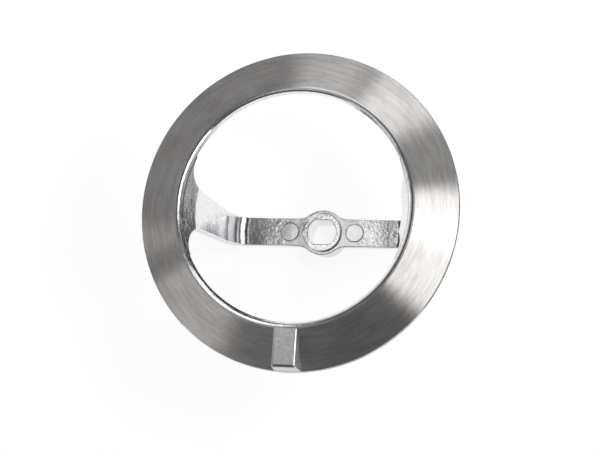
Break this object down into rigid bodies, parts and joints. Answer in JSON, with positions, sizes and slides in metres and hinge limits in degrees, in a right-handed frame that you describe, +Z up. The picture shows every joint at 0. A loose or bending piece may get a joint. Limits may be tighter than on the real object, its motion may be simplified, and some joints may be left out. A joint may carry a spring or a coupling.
{
  "type": "agitator ring",
  "caption": "Cast aluminium ring with a conical machined face, carried by two legs on a cross arm with a double-D drive hub, and one wedge-shaped lug on its face.",
  "frame": {"origin": "centre of the hub's underside, on the drive bore's axis", "axes": "+Z up the drive bore towards the ring, +X along the cross arm, the lug on the -Y side"},
  "size_m": [0.175, 0.175, 0.0923],
  "materials": {
    "cast_aluminium": "finely turned on the conical face, bright as-cast skin elsewhere"
  },
  "bodies": {
    "root": {"agitator_ring": "cast_aluminium"}
  },
  "joints": []
}
